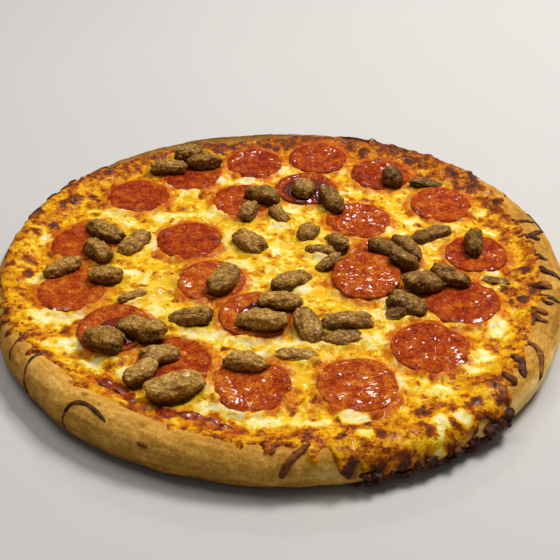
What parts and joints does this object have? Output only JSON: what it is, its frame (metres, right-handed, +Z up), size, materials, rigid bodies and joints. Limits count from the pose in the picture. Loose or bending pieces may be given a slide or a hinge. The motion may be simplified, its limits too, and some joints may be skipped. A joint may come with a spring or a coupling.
{
  "type": "pan pizza",
  "caption": "Whole uncut pan pizza with a thick puffed rim, browned cheese, pepperoni slices and sausage pieces, lying flat.",
  "frame": {"origin": "centre of the flat underside of the crust", "axes": "+Z up, out of the cheese; -Y towards the viewer; X across"},
  "size_m": [0.3043, 0.3036, 0.0319],
  "materials": {
    "baked_crust": "baked dough, golden tan, matte",
    "browned_cheese": "melted cheese, yellow with brown blisters, oily",
    "sauce": "baked tomato sauce, dark red, glossy",
    "pepperoni": "cured meat, orange red with fat specks, oily",
    "sausage": "crumbled cooked sausage, brown, grainy"
  },
  "bodies": {
    "root": {"crust": "baked_crust", "cheese": "browned_cheese", "sauce": "sauce", "pepperoni_01": "pepperoni", "pepperoni_02": "pepperoni", "pepperoni_03": "pepperoni", "pepperoni_04": "pepperoni", "pepperoni_05": "pepperoni", "pepperoni_06": "pepperoni", "pepperoni_07": "pepperoni", "pepperoni_08": "pepperoni", "pepperoni_09": "pepperoni", "pepperoni_10": "pepperoni", "pepperoni_11": "pepperoni", "pepperoni_12": "pepperoni", "pepperoni_13": "pepperoni", "pepperoni_14": "pepperoni", "pepperoni_15": "pepperoni", "pepperoni_16": "pepperoni", "pepperoni_17": "pepperoni", "pepperoni_18": "pepperoni", "pepperoni_19": "pepperoni", "pepperoni_20": "pepperoni", "pepperoni_21": "pepperoni", "pepperoni_22": "pepperoni", "pepperoni_23": "pepperoni", "sausage_01": "sausage", "sausage_02": "sausage", "sausage_03": "sausage", "sausage_04": "sausage", "sausage_05": "sausage", "sausage_06": "sausage", "sausage_07": "sausage", "sausage_08": "sausage", "sausage_09": "sausage", "sausage_10": "sausage", "sausage_11": "sausage", "sausage_12": "sausage", "sausage_13": "sausage", "sausage_14": "sausage", "sausage_15": "sausage", "sausage_16": "sausage", "sausage_17": "sausage", "sausage_18": "sausage", "sausage_19": "sausage", "sausage_20": "sausage", "sausage_21": "sausage", "sausage_22": "sausage", "sausage_23": "sausage", "sausage_24": "sausage", "sausage_25": "sausage", "sausage_26": "sausage", "sausage_27": "sausage", "sausage_28": "sausage", "sausage_29": "sausage", "sausage_30": "sausage", "sausage_31": "sausage", "sausage_32": "sausage", "sausage_33": "sausage"}
  },
  "joints": []
}
